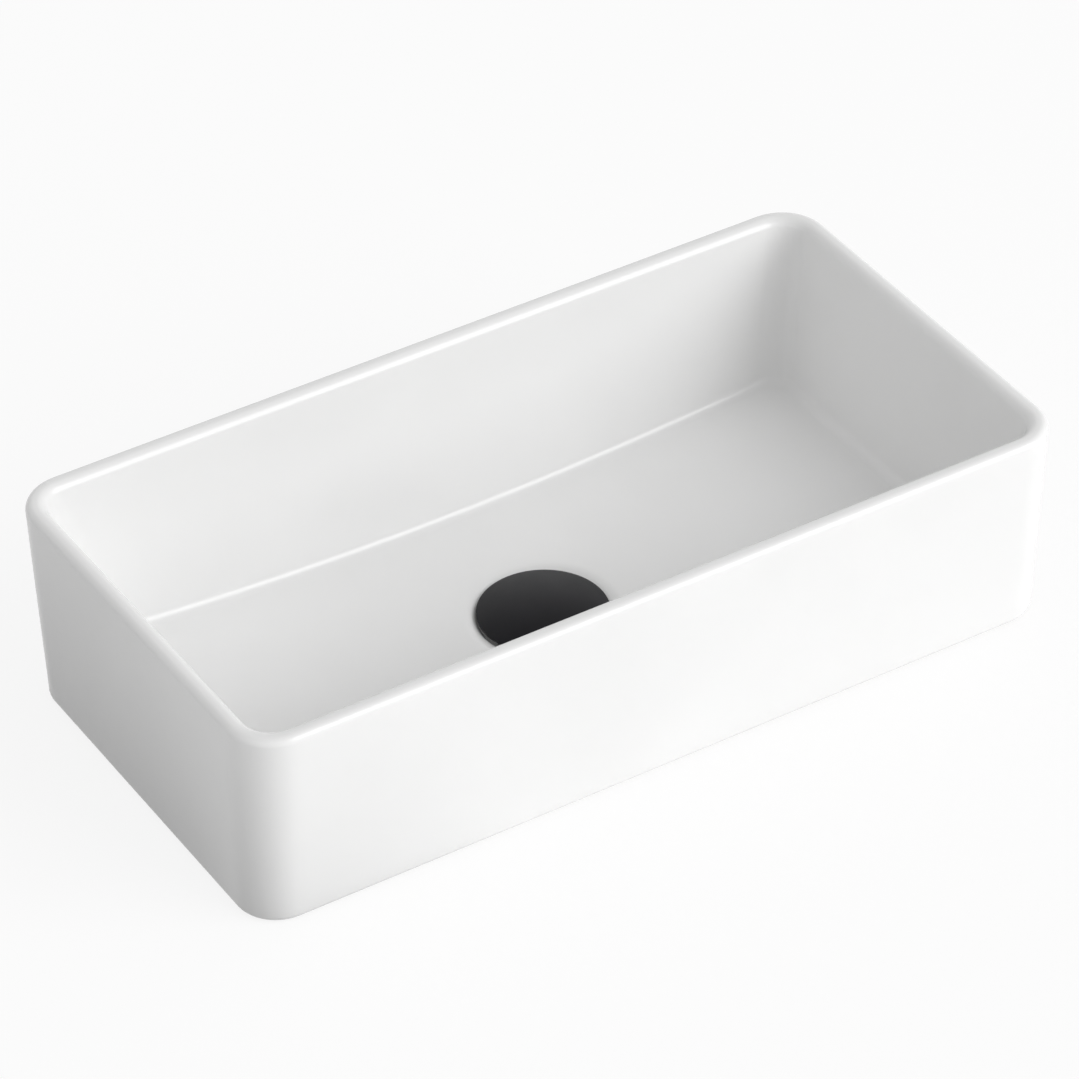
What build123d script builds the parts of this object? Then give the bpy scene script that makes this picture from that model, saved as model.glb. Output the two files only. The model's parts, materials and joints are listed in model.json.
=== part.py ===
"""Countertop basin with a click-action waste, at its real size in millimetres.

The origin is the centre of the face that rests on the counter. +Z is up, X runs along the basin
and -Y is its front. The waste is drawn closed, with its cap down.
"""

import os
from math import asin, degrees, radians, tan

from build123d import *

# Basin, outside
basin_length = 480.0
basin_depth = 250.0
basin_height = 120.0
outer_corner_radius = 26.0
end_draft = 3.0
side_draft = 7.0
foot_rounding = 4.0

# Basin, inside
rim_thickness = 10.0
rim_rounding = 4.4
end_wall_slope = 20.2
side_wall_slope = 18.9
inner_corner_radius = 16.0
floor_height = 31.5
floor_fall_along = 9.0
floor_fall_across = 0.7
floor_blend = 6.0

# Underside, left bare of glaze
foot_ring_width = 16.0
floor_thickness = 12.0
recess_taper = 12.0
underside_recess = 7.5
pad_radius = 37.0

# Drain dish and waste hole in the ceramic
dish_radius = 44.0
dish_slope = 19.0
dish_lip_radius = 36.4
dish_lip_height = 20.4
dish_wall_rounding = 1.4
dish_seat_radius = 33.0
dish_seat_height = 17.2
waste_hole_radius = 23.0

# Waste body, with a 1 1/4 inch pipe thread on its tail
flange_radius = 31.0
flange_thickness = 3.0
flange_rounding = 0.8
seat_outer_radius = 27.5
seat_inner_radius = 22.5
seat_fall = 1.3
tail_radius = 20.95
thread_mean_radius = 20.2
tail_bore_radius = 17.5
tail_length = 78.0
spider_arms = 3
spider_arm_width = 3.4
spider_height = 8.0
spider_boss_radius = 8.5

# Seals and nut that clamp the waste through the ceramic
gasket_thickness = 1.2
gasket_radius = 30.0
under_washer_thickness = 3.5
under_washer_radius = 31.0
under_washer_nose = 3.0
slip_washer_thickness = 1.5
backnut_height = 12.0
backnut_across_flats = 52.0
backnut_collar_radius = 29.5
backnut_collar_height = 3.0
nut_chamfer_angle = 30.0
thread_clearance = 0.2

# Cap and the carrier under it
cap_radius = 35.0
cap_edge_thickness = 1.0
cap_dome_rise = 4.0
cap_edge_rounding = 0.4
cap_edge_gap = 0.4
cap_spigot_radius = 5.0
cap_spigot_length = 5.0
carrier_clearance = 2.0
carrier_thickness = 1.6
carrier_hub_radius = 8.0
carrier_hub_length = 8.0
carrier_ribs = 4
carrier_rib_thickness = 1.6
carrier_rib_reach = 16.5
seal_setback = 0.95

# Plunger and its lock nut
rod_radius = 3.0
rod_grip = 4.2
stem_nut_height = 3.0
stem_nut_across_flats = 10.0
travel = 8.0
press_allowance = 1.0

# Cartridge that latches the plunger up and down
barrel_radius = 9.5
barrel_wall = 2.3
barrel_floor = 3.0
barrel_spanner_flats = 17.0
barrel_spanner_height = 6.0
barrel_stub_radius = 4.95
cam_count = 4
cam_width = 3.0
cam_depth = 1.1
bush_flange_height = 2.0
bush_spigot_length = 4.5
collar_height = 3.5
collar_radius = 5.8
rotor_height = 4.5
rotor_lug_width = 2.4
tooth_depth = 1.2
tooth_root = 0.3
tooth_width = 2.0
tooth_count = 8
spring_wire = 1.0
spring_radius = 5.2
spring_turns = 5
spring_closed_length = 9.5

# Clearances
slide_clearance = 0.08
loose_clearance = 0.3
fit_clearance = 0.05

# Heights worked out from the values above
gasket_top = dish_seat_height + gasket_thickness
flange_top = gasket_top + flange_thickness
seat_low = flange_top - seat_fall
tail_end = gasket_top - tail_length
cap_underside = flange_top + cap_edge_gap
carrier_radius = seat_inner_radius - carrier_clearance
carrier_bottom = cap_underside - carrier_thickness - carrier_hub_length
stem_nut_bottom = carrier_bottom - stem_nut_height
bush_top = stem_nut_bottom - press_allowance
barrel_top = bush_top - bush_flange_height
bush_bottom = barrel_top - bush_spigot_length
collar_top = bush_bottom - press_allowance - travel
rotor_top = collar_top - collar_height
spring_top = rotor_top - rotor_height
spring_bottom = spring_top - spring_closed_length
barrel_bottom = spring_bottom - barrel_floor
barrel_bore = barrel_radius - barrel_wall
cam_top = bush_bottom - fit_clearance
cam_bottom = rotor_top + press_allowance
rod_top = carrier_bottom + rod_grip
spigot_bottom = cap_underside - cap_spigot_length
under_washer_bottom = underside_recess - under_washer_thickness
slip_washer_bottom = under_washer_bottom - slip_washer_thickness
backnut_bottom = slip_washer_bottom - backnut_height


def opening_size(height):
    """Length, depth and corner radius of the bowl's inside at a height above the counter."""
    drop = (basin_height - height) / (basin_height - floor_height)
    length = basin_length - 2 * (rim_thickness + drop * end_wall_slope)
    depth = basin_depth - 2 * (rim_thickness + drop * side_wall_slope)
    return length, depth, inner_corner_radius


def fallen_floor(height, lowered):
    """The floor, falling from its corners to the waste along both axes, as wide as the bowl at a height."""
    length, depth, _ = opening_size(height)
    floor_length, floor_depth, _ = opening_size(floor_height)
    middle = floor_height - floor_fall_along - floor_fall_across - lowered
    rise_along = floor_fall_along * (length / floor_length) ** 2
    rise_across = floor_fall_across * (depth / floor_depth) ** 2
    rows = []
    for side_x in (-1, 0, 1):
        row = []
        for side_y in (-1, 0, 1):
            rise_x = rise_along if side_x else -rise_along
            rise_y = rise_across if side_y else -rise_across
            row.append((side_x * length / 2, side_y * depth / 2, middle + rise_x + rise_y))
        rows.append(row)
    return Face.make_bezier_surface(rows)


# Space inside the bowl, with a floor that falls to the waste
cavity_low = floor_height / 2
cavity_high = basin_height + rim_thickness
with BuildPart() as cavity:
    with BuildSketch(Plane.XY.offset(cavity_low)):
        RectangleRounded(*opening_size(cavity_low))
    with BuildSketch(Plane.XY.offset(cavity_high)):
        RectangleRounded(*opening_size(cavity_high))
    loft()
    add(Solid.extrude(fallen_floor(cavity_high, 0), Vector(0, 0, 2 * basin_height)), mode=Mode.INTERSECT)
    floor_edges = cavity.faces().sort_by(Axis.Z)[0].edges()
    fillet(floor_edges, floor_blend)

# Hollow under the bowl: its roof follows the floor, apart from a flat pad round the waste
with BuildPart() as underside:
    with BuildSketch(Plane.XY):
        RectangleRounded(
            basin_length - 2 * (end_draft + foot_ring_width),
            basin_depth - 2 * (side_draft + foot_ring_width),
            inner_corner_radius,
        )
    extrude(amount=floor_height, taper=recess_taper)
    roof = fallen_floor(cavity_high, floor_thickness)
    add(Solid.extrude(roof, Vector(0, 0, -2 * basin_height)), mode=Mode.INTERSECT)
    with BuildSketch(Plane.XY.offset(underside_recess)):
        Circle(pad_radius)
    extrude(amount=floor_height, taper=-recess_taper, mode=Mode.SUBTRACT)

with BuildPart() as basin_bowl:
    with BuildSketch(Plane.XY):
        RectangleRounded(
            basin_length - 2 * end_draft,
            basin_depth - 2 * side_draft,
            outer_corner_radius - end_draft,
        )
    with BuildSketch(Plane.XY.offset(basin_height)):
        RectangleRounded(basin_length, basin_depth, outer_corner_radius)
    loft()
    fillet(basin_bowl.faces().sort_by(Axis.Z)[0].edges(), foot_rounding)
    add(cavity.part, mode=Mode.SUBTRACT)
    fillet(basin_bowl.faces().sort_by(Axis.Z)[-1].edges(), rim_rounding)
    add(underside.part, mode=Mode.SUBTRACT)
    with BuildSketch(Plane.XZ) as dish_profile:
        with BuildLine():
            seat = (dish_seat_radius, dish_seat_height)
            wall = (dish_seat_radius + dish_wall_rounding, dish_seat_height)
            lip = (dish_lip_radius, dish_lip_height)
            fall = tan(radians(dish_slope))
            lean = dish_lip_radius - dish_seat_radius - dish_wall_rounding
            before_lip = (dish_lip_radius - lean, dish_lip_height - fall * lean)
            rise = fall * (dish_radius - dish_lip_radius)
            edge = (dish_radius, dish_lip_height + rise)
            Bezier(seat, wall, before_lip, lip)
            Polyline(lip, edge, (dish_radius, basin_height), (0, basin_height), (0, dish_seat_height), seat)
        make_face()
    revolve(axis=Axis.Z, mode=Mode.SUBTRACT)
    with Locations((0, 0, dish_seat_height)):
        Cylinder(waste_hole_radius, 2 * dish_seat_height, mode=Mode.SUBTRACT)

# Flat rubber ring between the waste's flange and the ceramic
with BuildPart() as flange_gasket:
    with BuildSketch(Plane.XY.offset(dish_seat_height)):
        Circle(gasket_radius)
        Circle(tail_radius + thread_clearance, mode=Mode.SUBTRACT)
    extrude(amount=gasket_thickness)

# Waste body: a flange with a trumpet-shaped seat, a threaded tail and a spider for the cartridge
throat_radius = seat_inner_radius - tail_bore_radius
with BuildPart() as waste_body:
    with BuildSketch(Plane.XZ):
        with BuildLine():
            Polyline(
                (seat_inner_radius, seat_low),
                (seat_outer_radius, flange_top),
                (flange_radius, flange_top),
                (flange_radius, gasket_top),
                (tail_radius, gasket_top),
                (tail_radius, slip_washer_bottom),
                (thread_mean_radius, slip_washer_bottom),
                (thread_mean_radius, backnut_bottom),
                (tail_radius, backnut_bottom),
                (tail_radius, tail_end),
                (tail_bore_radius, tail_end),
                (tail_bore_radius, seat_low - throat_radius),
            )
            RadiusArc(
                (tail_bore_radius, seat_low - throat_radius),
                (seat_inner_radius, seat_low),
                throat_radius,
            )
        make_face()
    revolve(axis=Axis.Z)
    top_rim = waste_body.edges().filter_by(GeomType.CIRCLE).group_by(Axis.Z)[-1].sort_by(SortBy.RADIUS)[-1]
    fillet(top_rim, flange_rounding)
    tail_edges = waste_body.edges().filter_by(GeomType.CIRCLE).group_by(Axis.Z)[0].sort_by(SortBy.RADIUS)
    chamfer(tail_edges[-1], flange_rounding)
    with BuildSketch(Plane.XY.offset(barrel_bottom - spider_height)):
        Circle(spider_boss_radius)
        with PolarLocations(0, spider_arms):
            arm_reach = (tail_bore_radius + tail_radius) / 2
            with Locations((arm_reach / 2, 0)):
                Rectangle(arm_reach, spider_arm_width)
    extrude(amount=spider_height)
    with Locations((0, 0, barrel_bottom - spider_height / 2)):
        Cylinder(barrel_stub_radius + fit_clearance, 2 * spider_height, mode=Mode.SUBTRACT)

# Tapered rubber washer that centres the waste in the ceramic from below
with BuildPart() as under_washer:
    with BuildSketch(Plane.XZ):
        with BuildLine():
            bore = tail_radius + thread_clearance
            nose_top = underside_recess + under_washer_nose
            Polyline(
                (bore, under_washer_bottom),
                (under_washer_radius, under_washer_bottom),
                (under_washer_radius, underside_recess),
                (waste_hole_radius - loose_clearance, underside_recess),
                (bore + loose_clearance, nose_top),
                (bore, nose_top),
                close=True,
            )
        make_face()
    revolve(axis=Axis.Z)

# Slippery washer that lets the nut turn without dragging the rubber
with BuildPart() as slip_washer:
    with BuildSketch(Plane.XY.offset(slip_washer_bottom)):
        Circle(under_washer_radius)
        Circle(tail_radius + thread_clearance, mode=Mode.SUBTRACT)
    extrude(amount=slip_washer_thickness)

# Hexagonal nut, chamfered below, with a round collar against the washer
with BuildPart() as backnut:
    with BuildSketch(Plane.XY.offset(backnut_bottom)):
        RegularPolygon(backnut_across_flats / 2, 6, major_radius=False)
    extrude(amount=backnut_height - backnut_collar_height)
    with BuildSketch(Plane.XY.offset(backnut_bottom)):
        Circle(backnut_across_flats / 2)
    hexagon_height = backnut_height - backnut_collar_height
    extrude(amount=hexagon_height, taper=nut_chamfer_angle - 90, mode=Mode.INTERSECT)
    with BuildSketch(Plane.XY.offset(slip_washer_bottom - backnut_collar_height)):
        Circle(backnut_collar_radius)
    extrude(amount=backnut_collar_height)
    with BuildSketch(Plane.XY.offset(backnut_bottom)):
        Circle(thread_mean_radius + fit_clearance)
    extrude(amount=backnut_height, mode=Mode.SUBTRACT)

# Domed cap that is pressed to close and open the waste
with BuildPart() as cap:
    with BuildSketch(Plane.XZ):
        with BuildLine():
            edge_top = cap_underside + cap_edge_thickness
            dome_top = edge_top + cap_dome_rise
            dome_radius = (cap_radius**2 + cap_dome_rise**2) / (2 * cap_dome_rise)
            dome = CenterArc(
                (0, dome_top - dome_radius),
                dome_radius,
                90 - degrees(asin(cap_radius / dome_radius)),
                degrees(asin(cap_radius / dome_radius)),
            )
            Polyline(dome @ 0, (cap_radius, cap_underside), (0, cap_underside), dome @ 1)
        make_face()
    revolve(axis=Axis.Z)
    cap_side = cap.faces().filter_by(GeomType.CYLINDER)[0]
    fillet(cap_side.edges().filter_by(GeomType.CIRCLE), cap_edge_rounding)
    with BuildSketch(Plane.XY.offset(spigot_bottom)):
        Circle(cap_spigot_radius)
    extrude(amount=cap_spigot_length)

# Carrier under the cap, with its hub, its disc and its stiffening ribs
with BuildPart() as plug_carrier:
    with BuildSketch(Plane.XY.offset(carrier_bottom)):
        Circle(carrier_hub_radius)
    extrude(amount=carrier_hub_length)
    with BuildSketch(Plane.XY.offset(cap_underside - carrier_thickness)):
        Circle(carrier_radius)
    extrude(amount=carrier_thickness)
    with BuildSketch(Plane.XZ) as rib_profile:
        with BuildLine():
            Polyline(
                (0, carrier_bottom + carrier_rib_thickness),
                (carrier_hub_radius, carrier_bottom + carrier_rib_thickness),
                (carrier_rib_reach, cap_underside - carrier_thickness),
                (0, cap_underside - carrier_thickness),
                close=True,
            )
        make_face()
    rib = Solid.extrude(rib_profile.sketch.face().moved(Pos(0, carrier_rib_thickness / 2, 0)),
                        Vector(0, -carrier_rib_thickness, 0))
    with PolarLocations(0, carrier_ribs):
        add(rib)
    with BuildSketch(Plane.XY.offset(carrier_bottom)):
        Circle(rod_radius + fit_clearance)
    extrude(amount=rod_grip + fit_clearance, mode=Mode.SUBTRACT)
    with BuildSketch(Plane.XY.offset(spigot_bottom)):
        Circle(cap_spigot_radius + fit_clearance)
    extrude(amount=cap_spigot_length, mode=Mode.SUBTRACT)

# Wedge-shaped rubber ring that closes on the trumpet seat
with BuildPart() as cap_seal:
    with BuildSketch(Plane.XZ):
        with BuildLine():
            seal_in = carrier_radius + fit_clearance
            seal_out = seat_outer_radius - seal_setback
            seat_slope = seat_fall / (seat_outer_radius - seat_inner_radius)
            seal_low = seat_low + loose_clearance
            Polyline(
                (seal_in, seal_low),
                (seat_inner_radius, seal_low),
                (seal_out, seal_low + seat_slope * (seal_out - seat_inner_radius)),
                (seal_out, cap_underside),
                (seal_in, cap_underside),
                close=True,
            )
        make_face()
    revolve(axis=Axis.Z)

# Thin nut that locks the carrier on the plunger's thread
with BuildPart() as stem_nut:
    with BuildSketch(Plane.XY.offset(stem_nut_bottom)):
        RegularPolygon(stem_nut_across_flats / 2, 6, major_radius=False)
        Circle(rod_radius + fit_clearance, mode=Mode.SUBTRACT)
    extrude(amount=stem_nut_height)
    with BuildSketch(Plane.XY.offset(stem_nut_bottom)):
        Circle(stem_nut_across_flats / 2)
    extrude(amount=stem_nut_height, taper=nut_chamfer_angle - 90, mode=Mode.INTERSECT)

# Cartridge barrel, with the fixed cams inside it and a stub for the spider
with BuildPart() as cartridge_barrel:
    with BuildSketch(Plane.XY.offset(barrel_bottom)):
        Circle(barrel_radius)
    extrude(amount=barrel_top - barrel_bottom)
    with BuildSketch(Plane.XY.offset(barrel_top - barrel_spanner_height)):
        Circle(2 * barrel_radius)
        Rectangle(4 * barrel_radius, barrel_spanner_flats, mode=Mode.SUBTRACT)
    extrude(amount=barrel_spanner_height, mode=Mode.SUBTRACT)
    with BuildSketch(Plane.XY.offset(spring_bottom)):
        Circle(barrel_bore)
    extrude(amount=barrel_top - spring_bottom, mode=Mode.SUBTRACT)
    with BuildSketch(Plane.XY.offset(cam_bottom)):
        with PolarLocations(0, cam_count):
            with Locations((barrel_bore, 0)):
                Rectangle(2 * cam_depth, cam_width)
    extrude(amount=cam_top - cam_bottom)
    with BuildSketch(Plane.XY.offset(barrel_bottom - spider_height)):
        Circle(barrel_stub_radius)
    extrude(amount=spider_height)

# Screwed bush that closes the barrel and guides the plunger's rod
with BuildPart() as guide_bush:
    with BuildSketch(Plane.XY.offset(bush_bottom)):
        Circle(barrel_bore - fit_clearance)
    extrude(amount=bush_spigot_length)
    with BuildSketch(Plane.XY.offset(barrel_top)):
        Circle(barrel_radius)
    extrude(amount=bush_flange_height)
    with BuildSketch(Plane.XY.offset(bush_bottom)):
        Circle(rod_radius + slide_clearance)
    extrude(amount=bush_top - bush_bottom, mode=Mode.SUBTRACT)


def crown_tooth(inner, outer, clearance):
    """A pointed tooth on the rotor's crown, from an inner to an outer radius, grown by a clearance."""
    with BuildPart() as tooth:
        with BuildSketch(Plane.YZ.offset(inner)):
            with BuildLine():
                half = tooth_width / 2 + clearance
                root = rotor_top - tooth_root
                tip = rotor_top + tooth_depth + clearance
                Polyline((-half, root), (-half, rotor_top), (0, tip), (half, rotor_top), (half, root), close=True)
            make_face()
        extrude(amount=outer - inner)
    return tooth.part


# The rotor's teeth stay inside its rim, and the collar's notches cut right through its own
rotor_tooth = crown_tooth(rod_radius + loose_clearance, collar_radius - loose_clearance, 0)
collar_notch = crown_tooth(rod_radius + slide_clearance, collar_radius + tooth_width, fit_clearance)

# Plunger: a threaded rod, a toothed collar and a tail that carries the rotor and the spring
with BuildPart() as plunger:
    with BuildSketch(Plane.XY.offset(spring_bottom + press_allowance)):
        Circle(rod_radius)
    extrude(amount=rod_top - spring_bottom - press_allowance)
    with BuildSketch(Plane.XY.offset(rotor_top)):
        Circle(collar_radius)
    extrude(amount=collar_height)
    with PolarLocations(0, tooth_count):
        add(collar_notch, mode=Mode.SUBTRACT)

# Rotor that indexes under the fixed cams
with BuildPart() as cartridge_rotor:
    with BuildSketch(Plane.XY.offset(spring_top)):
        Circle(collar_radius)
        with PolarLocations(0, cam_count, start_angle=180 / cam_count):
            with Locations(((barrel_bore - loose_clearance) / 2, 0)):
                Rectangle(barrel_bore - loose_clearance, rotor_lug_width)
        Circle(rod_radius + slide_clearance, mode=Mode.SUBTRACT)
    extrude(amount=rotor_height)
    with PolarLocations(0, tooth_count):
        add(rotor_tooth)

# Coil spring that lifts the rotor, in its pressed length
with BuildPart() as cartridge_spring:
    coil_height = spring_closed_length - spring_wire
    with BuildLine() as coil:
        Helix(coil_height / spring_turns, coil_height, spring_radius, center=(0, 0, spring_bottom + spring_wire / 2))
    with BuildSketch(Plane(coil.line @ 0, z_dir=coil.line % 0)):
        RegularPolygon(spring_wire / 2, 6)
    sweep(is_frenet=True)

pieces = {
    "basin_bowl": basin_bowl,
    "flange_gasket": flange_gasket,
    "waste_body": waste_body,
    "under_washer": under_washer,
    "slip_washer": slip_washer,
    "backnut": backnut,
    "cap": cap,
    "plug_carrier": plug_carrier,
    "cap_seal": cap_seal,
    "stem_nut": stem_nut,
    "plunger": plunger,
    "cartridge_barrel": cartridge_barrel,
    "guide_bush": guide_bush,
    "cartridge_rotor": cartridge_rotor,
    "cartridge_spring": cartridge_spring,
}
os.makedirs("parts", exist_ok=True)
for name, piece in pieces.items():
    piece.part.label = name
    export_step(piece.part, f"parts/{name}.step")
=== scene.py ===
"""Looks of a countertop basin with a click-action waste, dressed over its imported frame, in metres.

+Z is up, X runs along the basin and -Y is its front. The floor is the counter that it sits on.
"""

import json
import math

import bmesh
import bpy
from mathutils import Matrix, Vector, noise


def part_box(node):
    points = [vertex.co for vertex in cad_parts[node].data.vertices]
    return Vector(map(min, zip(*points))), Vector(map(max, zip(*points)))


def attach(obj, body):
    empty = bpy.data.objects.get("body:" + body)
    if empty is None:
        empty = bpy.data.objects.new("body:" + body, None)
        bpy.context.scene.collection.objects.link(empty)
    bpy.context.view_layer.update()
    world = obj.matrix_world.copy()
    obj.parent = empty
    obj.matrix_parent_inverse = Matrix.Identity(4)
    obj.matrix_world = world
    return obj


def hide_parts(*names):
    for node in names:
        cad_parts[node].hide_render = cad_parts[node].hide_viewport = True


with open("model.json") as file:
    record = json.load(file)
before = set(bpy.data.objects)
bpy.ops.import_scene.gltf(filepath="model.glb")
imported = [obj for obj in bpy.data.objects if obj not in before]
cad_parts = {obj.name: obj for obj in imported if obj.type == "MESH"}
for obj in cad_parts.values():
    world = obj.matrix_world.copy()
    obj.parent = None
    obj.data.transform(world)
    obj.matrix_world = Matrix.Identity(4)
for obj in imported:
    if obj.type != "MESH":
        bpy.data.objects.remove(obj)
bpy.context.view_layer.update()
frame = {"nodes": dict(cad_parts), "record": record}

MM = 0.001

# Basin: outside and rim
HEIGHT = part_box("basin_bowl")[1][2]
HALF_LENGTH = 240.0 * MM
HALF_DEPTH = 125.0 * MM
CORNER = 26.0 * MM
END_DRAFT = 3.0 * MM
SIDE_DRAFT = 7.0 * MM
FOOT_ROUNDING = 4.0 * MM
RIM_WIDTH = 10.0 * MM
RIM_ROUNDING = 4.4 * MM

# Basin: inner walls and falling floor
INNER_CORNER = 16.0 * MM
END_SLOPE = 20.2 * MM
SIDE_SLOPE = 18.9 * MM
FLOOR_HEIGHT = 31.5 * MM
FALL_ALONG = 9.0 * MM
FALL_ACROSS = 0.7 * MM
BLEND_REACH = 5.2 * MM
BLEND_WEIGHT = 0.755

# Basin: dish, seat and hole for the waste
DISH_EDGE = 46.0 * MM
DISH_SLOPE = math.tan(math.radians(19.0))
DISH_BLEND = 0.6 * MM
LIP_RADIUS = 36.4 * MM
LIP_HEIGHT = 20.4 * MM
LIP_LEAN = 2.0 * MM
SEAT_RADIUS = 33.0 * MM
SEAT_HEIGHT = 17.2 * MM
SEAT_ROUNDING = 1.4 * MM
SEAT_RINGS = (31.0 * MM, 28.0 * MM, 25.5 * MM)
HOLE_RADIUS = 23.0 * MM
HOLE_ROUNDING = 0.6 * MM

# Basin: hollow underneath, with a flat pad round the hole
FLOOR_THICKNESS = 12.0 * MM
FOOT_RING = 16.0 * MM
RECESS = 7.5 * MM
RECESS_TAPER = math.tan(math.radians(12.0))
PAD_RADIUS = 37.0 * MM
PAD_RINGS = (30.0 * MM, 36.0 * MM, PAD_RADIUS)
HOLE_RINGS = (13.0 * MM, 10.0 * MM, RECESS)

# Basin: its glaze, which waves slowly, lies calm round the waste and ends above the foot
GLAZE_WAVE = 0.18 * MM
GLAZE_WAVES_TO_METRE = 9.0
GLAZE_CALM_RADIUS = 60.0 * MM
GLAZE_LINE = 1.4 * MM

# Steps that the bowl's mesh is divided into
LONG_STEPS = 44
SHORT_STEPS = 24
CORNER_STEPS = 14
FOOT_STEPS = 8
RIM_STEPS = 10
WALL_STEPS = 12
BLEND_STEPS = 12
FLOOR_STEPS = 22
DISH_STEPS = 18
LIP_STEPS = 12
HOLE_STEPS = 4
ROOF_STEPS = 12
RECESS_STEPS = 4
MEETING_ROUNDS = 8

# Waste: flange, with a trumpet seat
FLANGE_RADIUS = 31.0 * MM
FLANGE_TOP = 21.4 * MM
FLANGE_BOTTOM = 18.4 * MM
FLANGE_ROUNDING = 0.8 * MM
FLANGE_BREAK = 0.1 * MM
SEAT_OUTER = 27.5 * MM
SEAT_INNER = 22.5 * MM
SEAT_LOW = 20.1 * MM
SEAT_LIP = 0.3 * MM
SEAT_LIP_DROP = 0.06 * MM
TRUMPET_STEPS = 14
EDGE_STEPS = 6
WASTE_SEGMENTS = 144

# Waste: threaded tail
TAIL_RADIUS = 20.95 * MM
TAIL_BORE = 17.5 * MM
TAIL_END = -59.6 * MM
TAIL_BREAK = 0.3 * MM
TAIL_CHAMFER = 0.5 * MM
TAIL_CHAMFER_HEIGHT = 0.8 * MM
NECK_END = 2.5 * MM
NUT_BOTTOM = -9.5 * MM
NUT_THREAD_RADIUS = 20.2 * MM
ROOT_DROP = 0.2 * MM
THREAD_DEPTH = 1.3 * MM
THREAD_PITCH = 25.4 / 11 * MM
THREAD_SUNK = 0.2 * MM
THREAD_CREST = 0.09
THREAD_ROOT = 0.44
THREAD_FOOT = 0.46
THREAD_FADE = 0.6
THREAD_STEPS = 72

# Waste: spider that holds the cartridge
SPIDER_TOP = -27.8 * MM
SPIDER_HEIGHT = 8.0 * MM
SPIDER_BOSS = 8.5 * MM
SPIDER_BORE = 5.0 * MM
SPIDER_BREAK = 0.4 * MM
SPIDER_SEGMENTS = 64
SPIDER_ARMS = 3
ARM_WIDTH = 3.4 * MM
ARM_START = SPIDER_BOSS * 0.9
ARM_SUNK = 0.6 * MM
ARM_ROUNDING = 1.0 * MM
ARM_STEPS = 4

# Cap
CAP_RADIUS = 35.0 * MM
CAP_UNDERSIDE = 21.8 * MM
CAP_EDGE = 1.0 * MM
CAP_RISE = 4.0 * MM
CAP_ROUNDING = 0.4 * MM
CAP_RINGS = (12.0 * MM, 24.0 * MM)
CAP_STEPS = 40
CAP_SEGMENTS = 256
SPIGOT_RADIUS = 5.0 * MM
SPIGOT_LENGTH = 5.0 * MM
POLE = 0.01 * MM

# Stage: the counter, with radii in metres. Its colour for the light that it throws back is darker left of
# the basin, which paints shade on the basin's lower left end
COUNTER_DROP = 0.2 * MM
COUNTER_RINGS = (12.0, 4.0, 1.2, 0.4, 0.12, 0.036)
COUNTER_SEGMENTS = 96
COUNTER_SEEN = 0.96
COUNTER_GLOW = 0.85
# Painted shade: near a place left of the basin, the counter's colour for bounced light falls to this, so
# the basin's left end darkens towards its foot
PAINTED_SHADE_BOUNCE = 0.05
BOUNCE_OPEN = 0.95
PAINTED_SHADE_PLACE = (-0.32, 0.06, 0.0)
PAINTED_SHADE_INNER = 0.12
PAINTED_SHADE_OUTER = 0.30

# Light: a white room that is greyer overhead in reflections, and one soft lamp
AMBIENT_LEFT = 0.60
AMBIENT_RIGHT = 0.46
SKY_WHITE = 1.0
SKY_WHITE_UP_TO = 0.38
SKY_OVERHEAD = 0.25
LAMP_AZIMUTH = 36.0
LAMP_ELEVATION = 30.0
LAMP_DISTANCE = 10.5
LAMP_SIZE = 7.9
LAMP_POWER = 730.0

# Camera, fitted to the photograph's outline of the basin
CAMERA_AZIMUTH = -31.227
CAMERA_ELEVATION = 37.453
CAMERA_ROLL = -1.097
CAMERA_DISTANCE = 2.9961
CAMERA_RIGHT = -1.33 * MM
CAMERA_UP = 7.29 * MM
CAMERA_NEAR = 0.05
CAMERA_FAR = 50.0
FRAME_PIXELS = 1079
FOCAL_PIXELS = 5834.6
SENSOR = 36.0


# Meshes


def mesh_object(name, verts, faces, smooth=True):
    """A new object from points and faces."""
    mesh = bpy.data.meshes.new(name)
    mesh.from_pydata([tuple(v) for v in verts], [], faces)
    mesh.validate()
    for polygon in mesh.polygons:
        polygon.use_smooth = smooth
    return linked_object(name, mesh)


def linked_object(name, data):
    """A new object in the scene, from a mesh, lamp or camera."""
    obj = bpy.data.objects.new(name, data)
    bpy.context.scene.collection.objects.link(obj)
    return obj


def strip_faces(rows, width, closed=True):
    """Faces between rows of points. Each row is a loop, and the last joins the first if closed."""
    faces = []
    for i in range(rows if closed else rows - 1):
        k = (i + 1) % rows
        for j in range(width):
            m = (j + 1) % width
            faces.append((i * width + j, i * width + m, k * width + m, k * width + j))
    return faces


def face_outwards(obj):
    """Turn every face of a closed mesh outwards."""
    bm = bmesh.new()
    bm.from_mesh(obj.data)
    bmesh.ops.recalc_face_normals(bm, faces=bm.faces)
    bm.to_mesh(obj.data)
    bm.free()


def close_poles(obj):
    """Merge the tiny rings that a turned mesh has on its axis, and drop the faces between them."""
    bm = bmesh.new()
    bm.from_mesh(obj.data)
    on_axis = [v for v in bm.verts if math.hypot(v.co.x, v.co.y) < 2 * POLE]
    between_poles = [f for f in bm.faces if all(v in on_axis for v in f.verts)]
    bmesh.ops.delete(bm, geom=between_poles, context="FACES_ONLY")
    bmesh.ops.remove_doubles(bm, verts=on_axis, dist=3 * POLE)
    bm.to_mesh(obj.data)
    bm.free()


def join(obj, others):
    """Join other objects into the first."""
    bpy.ops.object.select_all(action="DESELECT")
    for other in others:
        other.select_set(True)
    obj.select_set(True)
    bpy.context.view_layer.objects.active = obj
    bpy.ops.object.join()
    return obj


def arc(centre_r, centre_z, radius, start, end, steps):
    """Points of an arc in a profile, in degrees from the outward axis."""
    points = []
    for i in range(steps + 1):
        angle = math.radians(start + (end - start) * i / steps)
        points.append((centre_r + radius * math.cos(angle), centre_z + radius * math.sin(angle)))
    return points


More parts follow.
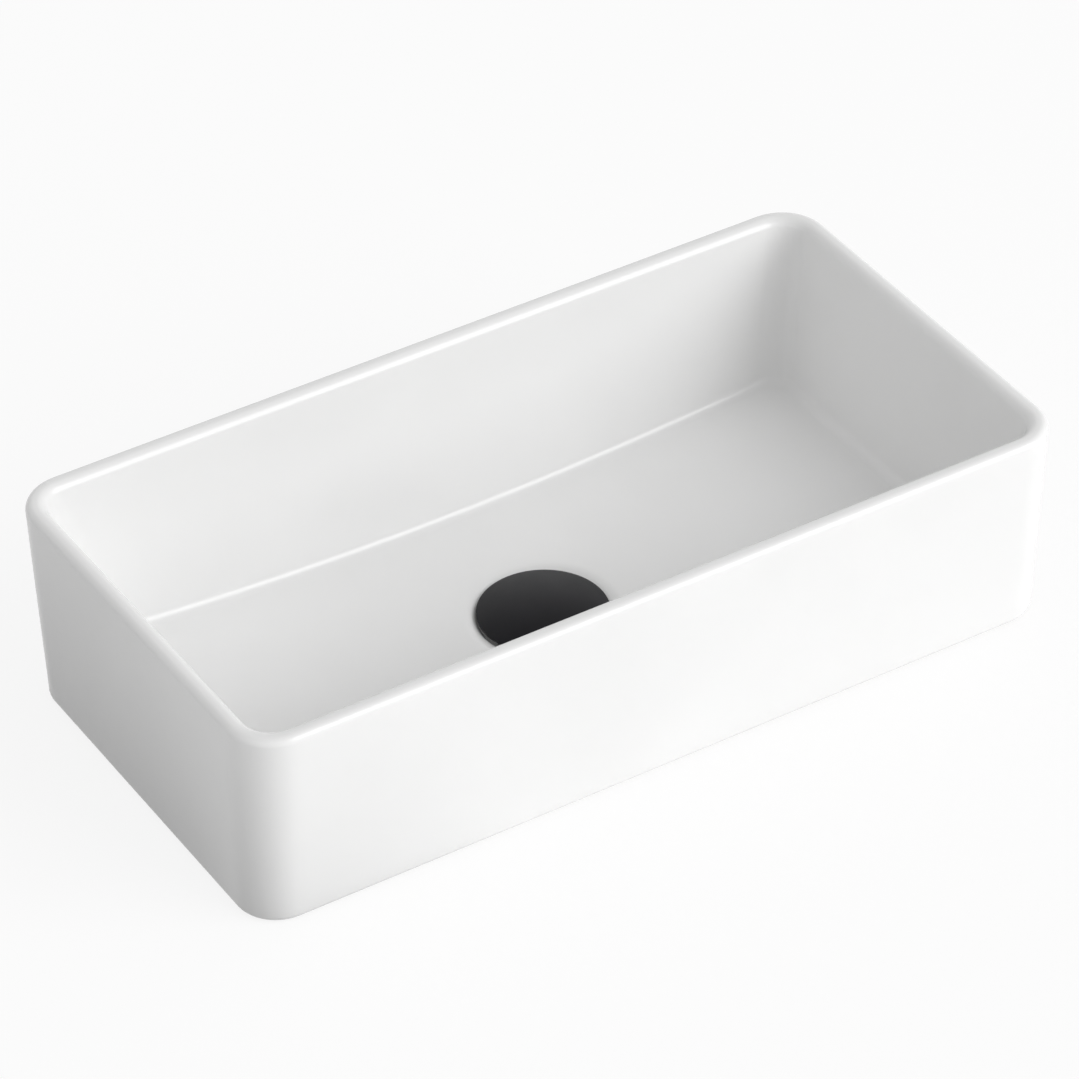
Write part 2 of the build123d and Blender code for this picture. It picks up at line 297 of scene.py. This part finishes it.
def lathe(name, profile, segments, closed=True):
    """Turn a profile of (radius, height) points round the vertical axis."""
    verts = []
    for radius, height in profile:
        for j in range(segments):
            angle = 2 * math.pi * j / segments
            verts.append((radius * math.cos(angle), radius * math.sin(angle), height))
    return mesh_object(name, verts, strip_faces(len(profile), segments, closed))


def quarter_turn(steps):
    """Angles from 0 to a right angle, in radians."""
    return [math.pi / 2 * i / steps for i in range(steps + 1)]


def weighted(weights, points):
    """The weighted mean of points."""
    total = sum(weights)
    return tuple(sum(w * c for w, c in zip(weights, axis)) / total for axis in zip(*points))


# The bowl's plans, which are rings of (x, y) points, and the surfaces that it follows


def plan_quarter(half_x, half_y, radius):
    """A quarter of a rounded rectangle, from the middle of its end to the middle of its side."""
    points = []
    for i in range(SHORT_STEPS):
        points.append((half_x, (half_y - radius) * i / SHORT_STEPS))
    for i in range(CORNER_STEPS):
        angle = math.pi / 2 * i / CORNER_STEPS
        x = half_x - radius + radius * math.cos(angle)
        y = half_y - radius + radius * math.sin(angle)
        points.append((x, y))
    for i in range(LONG_STEPS):
        points.append(((half_x - radius) * (1 - i / LONG_STEPS), half_y))
    return points


def plan_ring(half_x, half_y, radius):
    """A whole rounded rectangle, anticlockwise from the middle of its right end."""
    quarter = plan_quarter(half_x, half_y, radius)
    mirrored = [(-x, y) for x, y in reversed(quarter[1:])]
    half = quarter + [(0.0, half_y)] + mirrored
    lower = [(x, -y) for x, y in reversed(half[1:])]
    return half + [(-half_x, 0.0)] + lower


def outer_plan(height, inset=0.0):
    """The outer wall's ring at a height."""
    drop = 1 - height / HEIGHT
    return plan_ring(
        HALF_LENGTH - END_DRAFT * drop - inset,
        HALF_DEPTH - SIDE_DRAFT * drop - inset,
        CORNER - END_DRAFT * drop - inset,
    )


def inner_sizes(height, inset=0.0):
    """Half length, half depth and corner radius of the inside at a height."""
    drop = (HEIGHT - height) / (HEIGHT - FLOOR_HEIGHT)
    return (
        HALF_LENGTH - RIM_WIDTH - END_SLOPE * drop - inset,
        HALF_DEPTH - RIM_WIDTH - SIDE_SLOPE * drop - inset,
        INNER_CORNER - inset,
    )


def inner_plan(height, inset=0.0):
    """The inner wall's ring at a height."""
    return plan_ring(*inner_sizes(height, inset))


def recess_plan(height):
    """The ring of the hollow underneath at a height."""
    lean = RECESS_TAPER * height
    half_x = HALF_LENGTH - END_DRAFT - FOOT_RING - lean
    half_y = HALF_DEPTH - SIDE_DRAFT - FOOT_RING - lean
    return plan_ring(half_x, half_y, INNER_CORNER - lean)


def circle_like(plan, radius):
    """A circle whose points lie at the same angles as a plan's."""
    return [(radius * x / math.hypot(x, y), radius * y / math.hypot(x, y)) for x, y in plan]


def fallen_level(x, y):
    """Height of the floor, which falls to the waste along both axes."""
    edge_x, edge_y, _ = inner_sizes(FLOOR_HEIGHT)
    along = FALL_ALONG * (1 - (x / edge_x) ** 2)
    across = FALL_ACROSS * (1 - (y / edge_y) ** 2)
    return FLOOR_HEIGHT - along - across


def floor_level(x, y):
    """Height of the falling floor, dished round the waste."""
    slope = fallen_level(x, y)
    dish = LIP_HEIGHT + (math.hypot(x, y) - LIP_RADIUS) * DISH_SLOPE
    gap = max(DISH_BLEND - abs(slope - dish), 0.0) / DISH_BLEND
    return min(slope, dish) - gap * gap * DISH_BLEND / 4


def roof_level(x, y):
    """Height of the hollow's roof under the floor."""
    return fallen_level(x, y) - FLOOR_THICKNESS


# The bowl's rings of (x, y, z) points


def level_ring(plan, height):
    """A plan's points at one height."""
    return [(x, y, height) for x, y in plan]


def draped_ring(plan, level):
    """A plan's points on a surface."""
    return [(x, y, level(x, y)) for x, y in plan]


def between(ring, other, share):
    """A ring part of the way from one to another."""
    return [tuple(a + (b - a) * share for a, b in zip(p, q)) for p, q in zip(ring, other)]


def meet(plan_at, low, high, level):
    """Where the straight walls through a plan's rings at two heights meet a surface."""
    points = []
    for (xa, ya), (xb, yb) in zip(plan_at(low), plan_at(high)):
        height = low
        for _ in range(MEETING_ROUNDS):
            share = (height - low) / (high - low)
            x, y = xa + (xb - xa) * share, ya + (yb - ya) * share
            height = level(x, y)
        points.append((x, y, height))
    return points


def outside_rings():
    """Rings from the foot up the outside and over the rim's outer edge."""
    rings = []
    for angle in quarter_turn(FOOT_STEPS):
        height = FOOT_ROUNDING * (1 - math.cos(angle))
        inset = FOOT_ROUNDING * (1 - math.sin(angle))
        rings.append(level_ring(outer_plan(height, inset), height))
    wall_top = HEIGHT - RIM_ROUNDING
    for i in range(1, WALL_STEPS):
        height = FOOT_ROUNDING + (wall_top - FOOT_ROUNDING) * i / WALL_STEPS
        rings.append(level_ring(outer_plan(height), height))
    for angle in quarter_turn(RIM_STEPS):
        height = wall_top + RIM_ROUNDING * math.sin(angle)
        inset = RIM_ROUNDING * (1 - math.cos(angle))
        rings.append(level_ring(outer_plan(height, inset), height))
    return rings


def inside_rings():
    """Rings over the rim's inner edge, down the inner wall and round into the floor."""
    rings = []
    for angle in reversed(quarter_turn(RIM_STEPS)):
        height = HEIGHT - RIM_ROUNDING + RIM_ROUNDING * math.sin(angle)
        inset = -RIM_ROUNDING * (1 - math.cos(angle))
        rings.append(level_ring(inner_plan(height, inset), height))
    wall_start = rings[-1]
    wall_foot = meet(inner_plan, FLOOR_HEIGHT, HEIGHT, fallen_level)
    wall_end = []
    for (xa, ya), (xb, yb), foot in zip(inner_plan(FLOOR_HEIGHT), inner_plan(HEIGHT), wall_foot):
        height = foot[2] + BLEND_REACH
        share = (height - FLOOR_HEIGHT) / (HEIGHT - FLOOR_HEIGHT)
        wall_end.append((xa + (xb - xa) * share, ya + (yb - ya) * share, height))
    for i in range(1, WALL_STEPS + 1):
        rings.append(between(wall_start, wall_end, i / WALL_STEPS))
    return rings + blend_rings(wall_end, wall_foot)


def blend_rings(wall_end, wall_foot):
    """Rings that turn from the wall into the floor along an arc."""
    straight = inner_plan(FLOOR_HEIGHT)
    inset = inner_plan(FLOOR_HEIGHT, BLEND_REACH)
    floor_plan = []
    for (x, y, _), (xa, ya), (xb, yb) in zip(wall_foot, straight, inset):
        floor_plan.append((x + xb - xa, y + yb - ya))
    floor_start = draped_ring(floor_plan, fallen_level)
    rings = []
    for i in range(1, BLEND_STEPS + 1):
        t = i / BLEND_STEPS
        weights = ((1 - t) ** 2, 2 * BLEND_WEIGHT * t * (1 - t), t**2)
        rings.append([weighted(weights, corners) for corners in zip(wall_end, wall_foot, floor_start)])
    return rings


def floor_rings(edge):
    """Rings from the floor's straight edge into the dish round the waste, and over its lip."""
    rings = []
    circle = circle_like(edge, DISH_EDGE)
    for i in range(1, FLOOR_STEPS + 1):
        rings.append(draped_ring(between(edge, circle, i / FLOOR_STEPS), floor_level))
    for i in range(1, DISH_STEPS + 1):
        radius = DISH_EDGE + (LIP_RADIUS - DISH_EDGE) * i / DISH_STEPS
        rings.append(draped_ring(circle_like(edge, radius), floor_level))
    lip = (LIP_RADIUS, LIP_HEIGHT)
    past_lip = (LIP_RADIUS - LIP_LEAN, LIP_HEIGHT - LIP_LEAN * DISH_SLOPE)
    before_seat = (SEAT_RADIUS + SEAT_ROUNDING, SEAT_HEIGHT)
    seat = (SEAT_RADIUS, SEAT_HEIGHT)
    for i in range(1, LIP_STEPS + 1):
        t = i / LIP_STEPS
        weights = ((1 - t) ** 3, 3 * t * (1 - t) ** 2, 3 * t**2 * (1 - t), t**3)
        radius, height = weighted(weights, (lip, past_lip, before_seat, seat))
        rings.append(level_ring(circle_like(edge, radius), height))
    return rings


def hole_rings(edge):
    """Rings across the flange's seat and down the hole for the waste."""
    rings = [level_ring(circle_like(edge, radius), SEAT_HEIGHT) for radius in SEAT_RINGS]
    for angle in quarter_turn(HOLE_STEPS):
        radius = HOLE_RADIUS + HOLE_ROUNDING * (1 - math.sin(angle))
        height = SEAT_HEIGHT - HOLE_ROUNDING * (1 - math.cos(angle))
        rings.append(level_ring(circle_like(edge, radius), height))
    hole = circle_like(edge, HOLE_RADIUS)
    return rings + [level_ring(hole, height) for height in HOLE_RINGS]


def underside_rings(edge):
    """Rings across the pad, up to the hollow's roof, along it and down to the foot."""
    rings = [level_ring(circle_like(edge, radius), RECESS) for radius in PAD_RINGS]
    lean = RECESS_TAPER * (roof_level(PAD_RADIUS, 0.0) - RECESS)
    pad_root = circle_like(edge, PAD_RADIUS + lean)
    roof_edge = meet(recess_plan, 0.0, FLOOR_HEIGHT, roof_level)
    roof_plan = [point[:2] for point in roof_edge]
    for i in range(ROOF_STEPS + 1):
        rings.append(draped_ring(between(pad_root, roof_plan, i / ROOF_STEPS), roof_level))
    foot_edge = level_ring(recess_plan(0.0), 0.0)
    for i in range(1, RECESS_STEPS + 1):
        rings.append(between(roof_edge, foot_edge, i / RECESS_STEPS))
    return rings


def settle(point):
    """A fired glaze's slow waves, always inwards."""
    x, y, z = point
    away = Vector((x, y, 0.0))
    if z < FOOT_ROUNDING or away.length < GLAZE_CALM_RADIUS:
        return point
    swell = 0.5 + 0.5 * noise.noise(Vector(point) * GLAZE_WAVES_TO_METRE)
    away.normalize()
    return (x - away.x * GLAZE_WAVE * swell, y - away.y * GLAZE_WAVE * swell, z)


def make_bowl(glazed_material, clay_material):
    """The glazed bowl as one closed mesh of rings, bare under its foot and floor."""
    inside = inside_rings()
    edge = [point[:2] for point in inside[-1]]
    glazed = outside_rings() + inside + floor_rings(edge) + hole_rings(edge)
    rings = glazed + underside_rings(edge)
    count = len(edge)
    verts = [settle(point) for ring in rings for point in ring]
    bowl = mesh_object("bowl", verts, strip_faces(len(rings), count))
    bowl.data.materials.append(glazed_material)
    bowl.data.materials.append(clay_material)
    for polygon in bowl.data.polygons:
        ring = polygon.index // count
        bare = ring >= len(glazed) or polygon.center.z < GLAZE_LINE
        polygon.material_index = 1 if bare else 0
    face_outwards(bowl)
    return bowl


# The waste


def make_cap():
    """The domed cap, with its spigot below."""
    edge_top = CAP_UNDERSIDE + CAP_EDGE
    dome = (CAP_RADIUS**2 + CAP_RISE**2) / (2 * CAP_RISE)
    middle = edge_top + CAP_RISE - dome
    turn = math.acos(CAP_RADIUS / dome)
    low = CAP_UNDERSIDE - SPIGOT_LENGTH
    rounding = CAP_RADIUS - CAP_ROUNDING
    profile = [(POLE, low), (SPIGOT_RADIUS, low), (SPIGOT_RADIUS, CAP_UNDERSIDE)]
    profile += [(radius, CAP_UNDERSIDE) for radius in CAP_RINGS]
    profile += arc(rounding, CAP_UNDERSIDE + CAP_ROUNDING, CAP_ROUNDING, -90, 0, EDGE_STEPS)
    profile += arc(rounding, edge_top - CAP_ROUNDING, CAP_ROUNDING, 0, math.degrees(turn), EDGE_STEPS)
    reach = CAP_RADIUS - CAP_ROUNDING * (1 - math.cos(turn))
    for i in range(1, CAP_STEPS):
        radius = reach * (1 - i / CAP_STEPS)
        profile.append((radius, middle + math.sqrt(dome**2 - radius**2)))
    profile.append((POLE, edge_top + CAP_RISE))
    cap = lathe("cap_dome", profile, CAP_SEGMENTS)
    close_poles(cap)
    face_outwards(cap)
    return cap


def thread_ridge():
    """The tail's thread below the nut: a ridge with sloping flanks that fades in and out at its ends."""
    root = TAIL_RADIUS - THREAD_DEPTH
    turns = (NUT_BOTTOM - TAIL_END) / THREAD_PITCH - 2 * THREAD_FADE
    total = int(turns * THREAD_STEPS)
    fade_steps = THREAD_STEPS * THREAD_FADE
    verts = []
    for i in range(total + 1):
        angle = 2 * math.pi * i / THREAD_STEPS
        height = TAIL_END + THREAD_PITCH * (THREAD_FADE + i / THREAD_STEPS)
        crest = root + THREAD_DEPTH * min(1.0, i / fade_steps, (total - i) / fade_steps)
        section = (
            (root - THREAD_SUNK, -THREAD_FOOT),
            (root, -THREAD_ROOT),
            (crest, -THREAD_CREST),
            (crest, THREAD_CREST),
            (root, THREAD_ROOT),
            (root - THREAD_SUNK, THREAD_FOOT),
        )
        for radius, share in section:
            z = height + share * THREAD_PITCH
            verts.append((radius * math.cos(angle), radius * math.sin(angle), z))
    width = len(section)
    faces = strip_faces(total + 1, width, closed=False)
    faces.append(tuple(range(width)))
    faces.append(tuple(total * width + j for j in range(width)))
    ridge = mesh_object("ridge", verts, faces, smooth=False)
    face_outwards(ridge)
    return ridge


def spider_boss():
    """The spider's ring, which holds the cartridge's stub."""
    low = SPIDER_TOP - SPIDER_HEIGHT
    profile = [
        (SPIDER_BORE, low),
        (SPIDER_BOSS - SPIDER_BREAK, low),
        (SPIDER_BOSS, low + SPIDER_BREAK),
        (SPIDER_BOSS, SPIDER_TOP - SPIDER_BREAK),
        (SPIDER_BOSS - SPIDER_BREAK, SPIDER_TOP),
        (SPIDER_BORE, SPIDER_TOP),
    ]
    boss = lathe("boss", profile, SPIDER_SEGMENTS)
    face_outwards(boss)
    return boss


def spider_arm(angle):
    """One arm of the spider, rounded on its long edges."""
    bm = bmesh.new()
    bmesh.ops.create_cube(bm, size=1.0)
    reach = TAIL_BORE + ARM_SUNK - ARM_START
    middle = (ARM_START + reach / 2, 0, SPIDER_TOP - SPIDER_HEIGHT / 2)
    bmesh.ops.scale(bm, vec=(reach, ARM_WIDTH, SPIDER_HEIGHT), verts=bm.verts)
    bmesh.ops.translate(bm, vec=middle, verts=bm.verts)
    long_edges = [e for e in bm.edges if abs((e.verts[0].co - e.verts[1].co).x) > reach / 2]
    bmesh.ops.bevel(bm, geom=long_edges, offset=ARM_ROUNDING, segments=ARM_STEPS, affect="EDGES")
    bmesh.ops.rotate(bm, cent=(0, 0, 0), matrix=Matrix.Rotation(angle, 3, "Z"), verts=bm.verts)
    mesh = bpy.data.meshes.new("arm")
    bm.to_mesh(mesh)
    bm.free()
    return linked_object("arm", mesh)


def make_waste():
    """Flange, trumpet seat, threaded tail and spider."""
    trumpet = SEAT_INNER - TAIL_BORE
    root = TAIL_RADIUS - THREAD_DEPTH
    flange = FLANGE_RADIUS - FLANGE_ROUNDING
    profile = arc(SEAT_INNER, SEAT_LOW - trumpet, trumpet, 180, 90, TRUMPET_STEPS)
    profile += [(SEAT_OUTER - SEAT_LIP, FLANGE_TOP - SEAT_LIP_DROP), (SEAT_OUTER, FLANGE_TOP)]
    profile += arc(flange, FLANGE_TOP - FLANGE_ROUNDING, FLANGE_ROUNDING, 90, 0, EDGE_STEPS)
    profile += [
        (FLANGE_RADIUS, FLANGE_BOTTOM + FLANGE_BREAK),
        (FLANGE_RADIUS - FLANGE_BREAK, FLANGE_BOTTOM),
        (TAIL_RADIUS, FLANGE_BOTTOM),
        (TAIL_RADIUS, FLANGE_BOTTOM - TAIL_BREAK),
        (TAIL_RADIUS, NECK_END),
        (NUT_THREAD_RADIUS, NECK_END),
        (NUT_THREAD_RADIUS, NUT_BOTTOM),
        (root, NUT_BOTTOM - ROOT_DROP),
        (root, TAIL_END + TAIL_CHAMFER_HEIGHT),
        (root - TAIL_CHAMFER, TAIL_END),
        (TAIL_BORE + TAIL_BREAK, TAIL_END),
        (TAIL_BORE, TAIL_END + TAIL_BREAK),
    ]
    waste = lathe("waste", profile, WASTE_SEGMENTS)
    face_outwards(waste)
    others = [thread_ridge(), spider_boss()]
    others += [spider_arm(2 * math.pi * i / SPIDER_ARMS) for i in range(SPIDER_ARMS)]
    return join(waste, others)


# Materials

RAMP = (0.35, 0.65)
NOISE_SPREAD = (0.3, 0.7)
EVEN = (1.0, 1.0, 1.0)
TURNING_LINES = (0.05, 0.05, 3.0)


def remap(tree, value, source=(0.0, 1.0), target=(0.0, 1.0)):
    """Map a value from one range to another. An end of a range is a number or a socket."""
    node = tree.nodes.new("ShaderNodeMapRange")
    for name, end in zip(("From Min", "From Max", "To Min", "To Max"), (*source, *target)):
        if isinstance(end, float):
            node.inputs[name].default_value = end
        else:
            tree.links.new(end, node.inputs[name])
    tree.links.new(value, node.inputs["Value"])
    return node.outputs["Result"]


def noise_factor(tree, place, scale, detail=3.0, stretch=EVEN):
    """Noise of so many features to the metre, drawn out along the axes whose stretch is below 1."""
    mapping = tree.nodes.new("ShaderNodeMapping")
    mapping.inputs["Scale"].default_value = stretch
    texture = tree.nodes.new("ShaderNodeTexNoise")
    texture.inputs["Scale"].default_value = scale
    texture.inputs["Detail"].default_value = detail
    tree.links.new(place, mapping.inputs["Vector"])
    tree.links.new(mapping.outputs["Vector"], texture.inputs["Vector"])
    return texture.outputs["Fac"]


def finish(
    name,
    dark,
    light,
    tone_scale,
    roughness,
    gloss_scale,
    grain_scale,
    grain_depth,
    tone_detail=3.0,
    grain_detail=2.0,
    grain_stretch=EVEN,
    metallic=0.0,
    coat=0.0,
    coat_roughness=0.03,
    level=0.5,
):
    """A material whose colour, roughness and bump come from noise in the object's space, in metres."""
    material = bpy.data.materials.new(name)
    material.use_nodes = True
    tree = material.node_tree
    shader = tree.nodes["Principled BSDF"]
    shader.inputs["Metallic"].default_value = metallic
    shader.inputs["Coat Weight"].default_value = coat
    shader.inputs["Coat Roughness"].default_value = coat_roughness
    shader.inputs["Specular IOR Level"].default_value = level
    place = tree.nodes.new("ShaderNodeTexCoord").outputs["Object"]
    ramp = tree.nodes.new("ShaderNodeValToRGB")
    for element, position, colour in zip(ramp.color_ramp.elements, RAMP, (dark, light)):
        element.position = position
        element.color = (*colour, 1)
    tree.links.new(noise_factor(tree, place, tone_scale, tone_detail), ramp.inputs["Fac"])
    tree.links.new(ramp.outputs["Color"], shader.inputs["Base Color"])
    gloss = remap(tree, noise_factor(tree, place, gloss_scale), NOISE_SPREAD, roughness)
    tree.links.new(gloss, shader.inputs["Roughness"])
    bump = tree.nodes.new("ShaderNodeBump")
    bump.inputs["Strength"].default_value = 1.0
    bump.inputs["Distance"].default_value = grain_depth
    grain = noise_factor(tree, place, grain_scale, grain_detail, grain_stretch)
    tree.links.new(grain, bump.inputs["Height"])
    tree.links.new(bump.outputs["Normal"], shader.inputs["Normal"])
    return material


def polymer(name, dark, light):
    """Moulded engineering plastic with a fine matt grain."""
    return finish(
        name,
        dark,
        light,
        tone_scale=50.0,
        tone_detail=4.0,
        roughness=(0.38, 0.55),
        gloss_scale=220.0,
        grain_scale=1800.0,
        grain_detail=3.0,
        grain_depth=0.03 * MM,
        level=0.45,
    )


# White sanitary glaze: very smooth, with slow shifts of tone and a faint orange peel
glazed_white = finish(
    "glazed_white",
    dark=(0.855, 0.855, 0.852),
    light=(0.885, 0.885, 0.882),
    tone_scale=7.0,
    roughness=(0.20, 0.27),
    gloss_scale=45.0,
    grain_scale=110.0,
    grain_detail=1.0,
    grain_depth=0.03 * MM,
    coat=0.1,
)

# Unglazed fired clay: warm, dry and finely pitted
bare_clay = finish(
    "bare_clay",
    dark=(0.56, 0.52, 0.46),
    light=(0.70, 0.67, 0.61),
    tone_scale=60.0,
    tone_detail=6.0,
    roughness=(0.75, 0.95),
    gloss_scale=200.0,
    grain_scale=1400.0,
    grain_detail=4.0,
    grain_depth=0.2 * MM,
    level=0.3,
)

# Satin black coating over metal: an even, fine-grained sheen
satin_black = finish(
    "satin_black",
    dark=(0.0028, 0.0025, 0.0046),
    light=(0.0048, 0.0044, 0.0072),
    tone_scale=30.0,
    roughness=(0.28, 0.36),
    gloss_scale=90.0,
    grain_scale=2600.0,
    grain_depth=0.02 * MM,
    level=0.24,
)

# The same black on turned brass, with fine lines left by the tool
black_lacquered_brass = finish(
    "black_lacquered_brass",
    dark=(0.012, 0.012, 0.013),
    light=(0.026, 0.026, 0.027),
    tone_scale=40.0,
    roughness=(0.30, 0.44),
    gloss_scale=120.0,
    grain_scale=900.0,
    grain_depth=0.03 * MM,
    grain_stretch=TURNING_LINES,
    coat=0.05,
    coat_roughness=0.3,
)

# Bright brass with turning lines and a faint dulling
plain_brass = finish(
    "plain_brass",
    dark=(0.56, 0.38, 0.14),
    light=(0.80, 0.60, 0.28),
    tone_scale=80.0,
    tone_detail=5.0,
    roughness=(0.22, 0.40),
    gloss_scale=140.0,
    grain_scale=1100.0,
    grain_depth=0.03 * MM,
    grain_stretch=TURNING_LINES,
    metallic=1.0,
)

# Black moulded rubber with a dusty bloom
black_rubber = finish(
    "black_rubber",
    dark=(0.012, 0.012, 0.012),
    light=(0.045, 0.044, 0.042),
    tone_scale=160.0,
    tone_detail=5.0,
    roughness=(0.62, 0.86),
    gloss_scale=260.0,
    grain_scale=2200.0,
    grain_detail=3.0,
    grain_depth=0.05 * MM,
    level=0.35,
)

# Drawn steel wire
spring_steel = finish(
    "spring_steel",
    dark=(0.34, 0.34, 0.35),
    light=(0.62, 0.62, 0.63),
    tone_scale=300.0,
    tone_detail=4.0,
    roughness=(0.22, 0.38),
    gloss_scale=400.0,
    grain_scale=2400.0,
    grain_depth=0.02 * MM,
    metallic=1.0,
)

MATERIALS = {
    "glazed_white": glazed_white,
    "black_rubber": black_rubber,
    "black_lacquered_brass": black_lacquered_brass,
    "satin_black": satin_black,
    "plain_brass": plain_brass,
    "white_polymer": polymer("white_polymer", (0.66, 0.66, 0.63), (0.78, 0.78, 0.75)),
    "black_polymer": polymer("black_polymer", (0.014, 0.014, 0.014), (0.04, 0.04, 0.04)),
    "spring_steel": spring_steel,
}

# Put the pieces on their bodies

bowl = make_bowl(glazed_white, bare_clay)
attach(bowl, "basin")
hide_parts("basin_bowl")

waste = make_waste()
waste.data.materials.append(black_lacquered_brass)
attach(waste, "basin")
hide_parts("waste_body")

cap = make_cap()
cap.data.materials.append(satin_black)
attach(cap, "pop_up")
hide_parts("cap")

# The other pieces are the CAD's own, in better materials

for part in frame["record"]["subparts"]:
    if part["node"] in ("basin_bowl", "waste_body", "cap"):
        continue
    node = frame["nodes"][part["node"]]
    for slot in node.material_slots:
        slot.material = MATERIALS[part["material_slot"]]
    if not node.material_slots:
        node.data.materials.append(MATERIALS[part["material_slot"]])

# Stage and light


def seen_directly(tree):
    """1 on camera, glossy and transmission rays, and 0 on the rest."""
    path = tree.nodes.new("ShaderNodeLightPath")
    total = path.outputs["Is Camera Ray"]
    for output in ("Is Glossy Ray", "Is Transmission Ray"):
        most = tree.nodes.new("ShaderNodeMath")
        most.operation = "MAXIMUM"
        tree.links.new(total, most.inputs[0])
        tree.links.new(path.outputs[output], most.inputs[1])
        total = most.outputs[0]
    return total


def counter_material():
    """Pale and partly glowing where it is seen. Its colour for the light that it throws back is darker
    near the basin's left end: painted shade on that end's lower part.
    """
    material = bpy.data.materials.new("pale_counter")
    material.use_nodes = True
    tree = material.node_tree
    tree.nodes.clear()
    seen = seen_directly(tree)
    place = tree.nodes.new("ShaderNodeTexCoord")
    away = tree.nodes.new("ShaderNodeVectorMath")
    away.operation = "DISTANCE"
    away.inputs[1].default_value = PAINTED_SHADE_PLACE
    tree.links.new(place.outputs["Object"], away.inputs[0])
    # Painted shade: the light thrown back is darkened near the basin's left end
    bounce = remap(tree, away.outputs["Value"], (PAINTED_SHADE_INNER, PAINTED_SHADE_OUTER), (PAINTED_SHADE_BOUNCE, BOUNCE_OPEN))
    diffuse = tree.nodes.new("ShaderNodeBsdfDiffuse")
    tree.links.new(remap(tree, seen, target=(bounce, COUNTER_SEEN)), diffuse.inputs["Color"])
    glow = tree.nodes.new("ShaderNodeEmission")
    share = remap(tree, seen, target=(0.0, COUNTER_GLOW))
    mix = tree.nodes.new("ShaderNodeMixShader")
    tree.links.new(share, mix.inputs["Fac"])
    tree.links.new(diffuse.outputs[0], mix.inputs[1])
    tree.links.new(glow.outputs[0], mix.inputs[2])
    output = tree.nodes.new("ShaderNodeOutputMaterial")
    tree.links.new(mix.outputs[0], output.inputs["Surface"])
    return material


def make_counter():
    """A broad plane with a hole for the waste, lower than the foot by a bead of sealant."""
    profile = [(radius, -COUNTER_DROP) for radius in COUNTER_RINGS]
    counter = lathe("counter", profile, COUNTER_SEGMENTS, closed=False)
    counter.data.materials.append(counter_material())
    return counter


def make_world():
    """A sky from white to grey where it is seen, and elsewhere a softer light, stronger from the left."""
    world = bpy.data.worlds.new("white_room")
    bpy.context.scene.world = world
    world.use_nodes = True
    tree = world.node_tree
    background = tree.nodes["Background"]
    background.inputs["Color"].default_value = (1, 1, 1, 1)
    place = tree.nodes.new("ShaderNodeTexCoord")
    parts = tree.nodes.new("ShaderNodeSeparateXYZ")
    tree.links.new(place.outputs["Generated"], parts.inputs["Vector"])
    ambient = remap(tree, parts.outputs["X"], (-1.0, 1.0), (AMBIENT_LEFT, AMBIENT_RIGHT))
    sky = remap(tree, parts.outputs["Z"], (SKY_WHITE_UP_TO, 1.0), (SKY_WHITE, SKY_OVERHEAD))
    strength = remap(tree, seen_directly(tree), target=(ambient, sky))
    tree.links.new(strength, background.inputs["Strength"])


def direction(azimuth, elevation):
    """A unit vector away from the basin, in degrees round from its front and up from the counter."""
    a, e = math.radians(azimuth), math.radians(elevation)
    return Vector((math.sin(a) * math.cos(e), -math.cos(a) * math.cos(e), math.sin(e)))


def make_lamp():
    """A square area lamp aimed at the basin's middle."""
    lamp = bpy.data.lights.new("front_box", "AREA")
    lamp.shape = "SQUARE"
    lamp.size = LAMP_SIZE
    lamp.energy = LAMP_POWER
    obj = linked_object("front_box", lamp)
    back = direction(LAMP_AZIMUTH, LAMP_ELEVATION)
    obj.location = Vector((0, 0, HEIGHT / 2)) + back * LAMP_DISTANCE
    obj.rotation_mode = "QUATERNION"
    obj.rotation_quaternion = (-back).to_track_quat("-Z", "Y")


def make_camera():
    """The photograph's camera, turned about its own axis by the roll."""
    back = direction(CAMERA_AZIMUTH, CAMERA_ELEVATION)
    right = Vector((0, 0, 1)).cross(back).normalized()
    up = back.cross(right)
    turn = math.radians(CAMERA_ROLL)
    rolled_right = right * math.cos(turn) + up * math.sin(turn)
    rolled_up = up * math.cos(turn) - right * math.sin(turn)
    data = bpy.data.cameras.new("photo_camera")
    data.sensor_width = SENSOR
    data.lens = FOCAL_PIXELS / FRAME_PIXELS * SENSOR
    data.clip_start = CAMERA_NEAR
    data.clip_end = CAMERA_FAR
    camera = linked_object("photo_camera", data)
    place = Vector((0, 0, HEIGHT / 2)) + back * CAMERA_DISTANCE
    place += rolled_right * CAMERA_RIGHT + rolled_up * CAMERA_UP
    axes = Matrix((rolled_right, rolled_up, back)).transposed().to_4x4()
    camera.matrix_world = Matrix.Translation(place) @ axes
    bpy.context.scene.camera = camera


counter = make_counter()
make_world()
make_lamp()
make_camera()
bpy.context.scene.view_settings.view_transform = "Standard"
